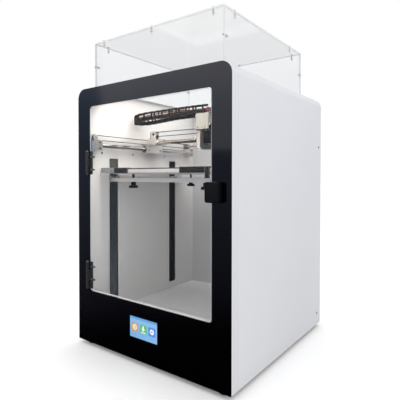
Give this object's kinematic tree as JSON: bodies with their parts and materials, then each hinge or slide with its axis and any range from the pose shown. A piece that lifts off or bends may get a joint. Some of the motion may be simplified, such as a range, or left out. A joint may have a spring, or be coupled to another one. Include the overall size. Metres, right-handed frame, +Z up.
{
  "type": "enclosed 3d printer",
  "caption": "Tall enclosed filament 3D printer with a glossy front, clear door and hood, touch screen, lifting bed and belt-driven gantry with a cable chain.",
  "frame": {"origin": "under the middle of the bounding box, on the surface the feet stand on", "axes": "+Z up, -Y towards the door and the user, +X to the user's right"},
  "size_m": [0.522, 0.5676, 0.8698],
  "materials": {
    "outer_shell": null,
    "front_panel": null,
    "rear_panel": null,
    "base_plate": null,
    "feet": null,
    "chamber_floor": null,
    "left_wall": null,
    "right_wall": null,
    "back_wall": null,
    "z_guides": null,
    "z_cover_strips": null,
    "frame_motors": null,
    "y_rods": null,
    "y_rod_blocks": null,
    "y_belts": null,
    "screen_module": null,
    "screen_glass": null,
    "power_supply": null,
    "control_board": null,
    "power_entry": null,
    "led_bar": null,
    "hinge_leaves_frame": null,
    "door_catch": null,
    "panel_screws": null,
    "door_pane": null,
    "hinge_leaves_door": null,
    "door_handle": null,
    "hood_top": null,
    "hood_walls": null,
    "hood_screws": null,
    "bed_frame": null,
    "bed_brackets": null,
    "heated_plate": null,
    "print_surface": null,
    "bed_clips": null,
    "bed_posts": null,
    "knob_front_left": null,
    "knob_front_right": null,
    "knob_rear_left": null,
    "knob_rear_right": null,
    "lead_screw_left": null,
    "lead_screw_right": null,
    "y_carriages": null,
    "x_rods": null,
    "x_belt": null,
    "x_motor": null,
    "x_idler": null,
    "x_motor_pulley": null,
    "y_front_pulleys": null,
    "y_drive_shaft": null,
    "head_carriage": null,
    "head_plate": null,
    "head_cover": null,
    "blower_housing": null,
    "blower_wheel": null,
    "extruder": null,
    "hot_end": null,
    "nozzle": null,
    "cable_chain": null,
    "rocker": null
  },
  "bodies": {
    "cabinet": {"outer_shell": "outer_shell", "front_panel": "front_panel", "rear_panel": "rear_panel", "base_plate": "base_plate", "feet": "feet", "chamber_floor": "chamber_floor", "left_wall": "left_wall", "right_wall": "right_wall", "back_wall": "back_wall", "z_guides": "z_guides", "z_cover_strips": "z_cover_strips", "frame_motors": "frame_motors", "y_rods": "y_rods", "y_rod_blocks": "y_rod_blocks", "y_belts": "y_belts", "screen_module": "screen_module", "screen_glass": "screen_glass", "power_supply": "power_supply", "control_board": "control_board", "power_entry": "power_entry", "led_bar": "led_bar", "hinge_leaves_frame": "hinge_leaves_frame", "door_catch": "door_catch", "panel_screws": "panel_screws"},
    "door": {"door_pane": "door_pane", "hinge_leaves_door": "hinge_leaves_door", "door_handle": "door_handle"},
    "hood": {"hood_top": "hood_top", "hood_walls": "hood_walls", "hood_screws": "hood_screws"},
    "bed": {"bed_frame": "bed_frame", "bed_brackets": "bed_brackets", "heated_plate": "heated_plate", "print_surface": "print_surface", "bed_clips": "bed_clips", "bed_posts": "bed_posts"},
    "knob_fl": {"knob_front_left": "knob_front_left"},
    "knob_fr": {"knob_front_right": "knob_front_right"},
    "knob_rl": {"knob_rear_left": "knob_rear_left"},
    "knob_rr": {"knob_rear_right": "knob_rear_right"},
    "screw_left": {"lead_screw_left": "lead_screw_left"},
    "screw_right": {"lead_screw_right": "lead_screw_right"},
    "gantry": {"y_carriages": "y_carriages", "x_rods": "x_rods", "x_belt": "x_belt", "x_motor": "x_motor", "cable_chain": "cable_chain"},
    "x_idler_wheel": {"x_idler": "x_idler"},
    "x_drive": {"x_motor_pulley": "x_motor_pulley"},
    "y_idlers": {"y_front_pulleys": "y_front_pulleys"},
    "y_drive": {"y_drive_shaft": "y_drive_shaft"},
    "head": {"head_carriage": "head_carriage", "head_plate": "head_plate", "head_cover": "head_cover", "blower_housing": "blower_housing", "extruder": "extruder", "hot_end": "hot_end", "nozzle": "nozzle"},
    "fan_wheel": {"blower_wheel": "blower_wheel"},
    "switch_rocker": {"rocker": "rocker"}
  },
  "joints": [
    {"name": "door_swing", "type": "hinge", "parent": "cabinet", "child": "door", "pos_m": [-0.2125, -0.2723, 0.36], "axis": [0, 0, -1], "range_deg": [0, 110]},
    {"name": "hood_lift", "type": "slide", "parent": "cabinet", "child": "hood", "axis": [0, 0, 1], "range_m": [0, 0.3]},
    {"name": "bed_lift", "type": "slide", "parent": "cabinet", "child": "bed", "axis": [0, 0, 1], "range_m": [-0.35, 0.05]},
    {"name": "knob_fl_turn", "type": "hinge", "parent": "bed", "child": "knob_fl", "pos_m": [-0.129, -0.1743, 0.459], "axis": [0, 0, 1], "continuous": true},
    {"name": "knob_fr_turn", "type": "hinge", "parent": "bed", "child": "knob_fr", "pos_m": [0.129, -0.1743, 0.459], "axis": [0, 0, 1], "continuous": true},
    {"name": "knob_rl_turn", "type": "hinge", "parent": "bed", "child": "knob_rl", "pos_m": [-0.129, 0.0967, 0.459], "axis": [0, 0, 1], "continuous": true},
    {"name": "knob_rr_turn", "type": "hinge", "parent": "bed", "child": "knob_rr", "pos_m": [0.129, 0.0967, 0.459], "axis": [0, 0, 1], "continuous": true},
    {"name": "screw_left_turn", "type": "hinge", "parent": "cabinet", "child": "screw_left", "pos_m": [-0.2367, 0.1327, 0.312], "axis": [0, 0, 1], "range_deg": [-2252, 15752]},
    {"name": "screw_right_turn", "type": "hinge", "parent": "cabinet", "child": "screw_right", "pos_m": [0.2367, 0.1327, 0.312], "axis": [0, 0, 1], "range_deg": [-2252, 15752]},
    {"name": "gantry_slide", "type": "slide", "parent": "cabinet", "child": "gantry", "axis": [0, 1, 0], "range_m": [-0.14, 0.13]},
    {"name": "y_drive_turn", "type": "hinge", "parent": "cabinet", "child": "y_drive", "pos_m": [0, 0.1722, 0.5935], "axis": [1, 0, 0], "range_deg": [-1172, 1262]},
    {"name": "y_idlers_turn", "type": "hinge", "parent": "cabinet", "child": "y_idlers", "pos_m": [0, -0.2538, 0.5935], "axis": [1, 0, 0], "range_deg": [-1172, 1262]},
    {"name": "head_slide", "type": "slide", "parent": "gantry", "child": "head", "axis": [1, 0, 0], "range_m": [-0.166, 0.078], "deforming": ["cable_chain"]},
    {"name": "x_idler_turn", "type": "hinge", "parent": "gantry", "child": "x_idler_wheel", "pos_m": [-0.17, -0.0388, 0.6183], "axis": [0, 1, 0], "range_deg": [-1496, 704]},
    {"name": "x_drive_turn", "type": "hinge", "parent": "gantry", "child": "x_drive", "pos_m": [0.17, -0.0388, 0.6183], "axis": [0, 1, 0], "range_deg": [-1496, 704]},
    {"name": "fan_wheel_turn", "type": "hinge", "parent": "head", "child": "fan_wheel", "pos_m": [0.0565, -0.0593, 0.588], "axis": [0, 1, 0], "continuous": true},
    {"name": "rocker_tip", "type": "hinge", "parent": "cabinet", "child": "switch_rocker", "pos_m": [0.19, 0.2787, 0.094], "axis": [1, 0, 0], "range_deg": [0, 18]}
  ],
  "couplings": [
    {"joint": "screw_left_turn", "follows": "bed_lift", "rad_per_m": -785.4},
    {"joint": "screw_right_turn", "follows": "bed_lift", "rad_per_m": -785.4},
    {"joint": "y_drive_turn", "follows": "gantry_slide", "rad_per_m": -157.08},
    {"joint": "y_idlers_turn", "follows": "gantry_slide", "rad_per_m": -157.08},
    {"joint": "x_idler_turn", "follows": "head_slide", "rad_per_m": 157.08},
    {"joint": "x_drive_turn", "follows": "head_slide", "rad_per_m": 157.08}
  ]
}
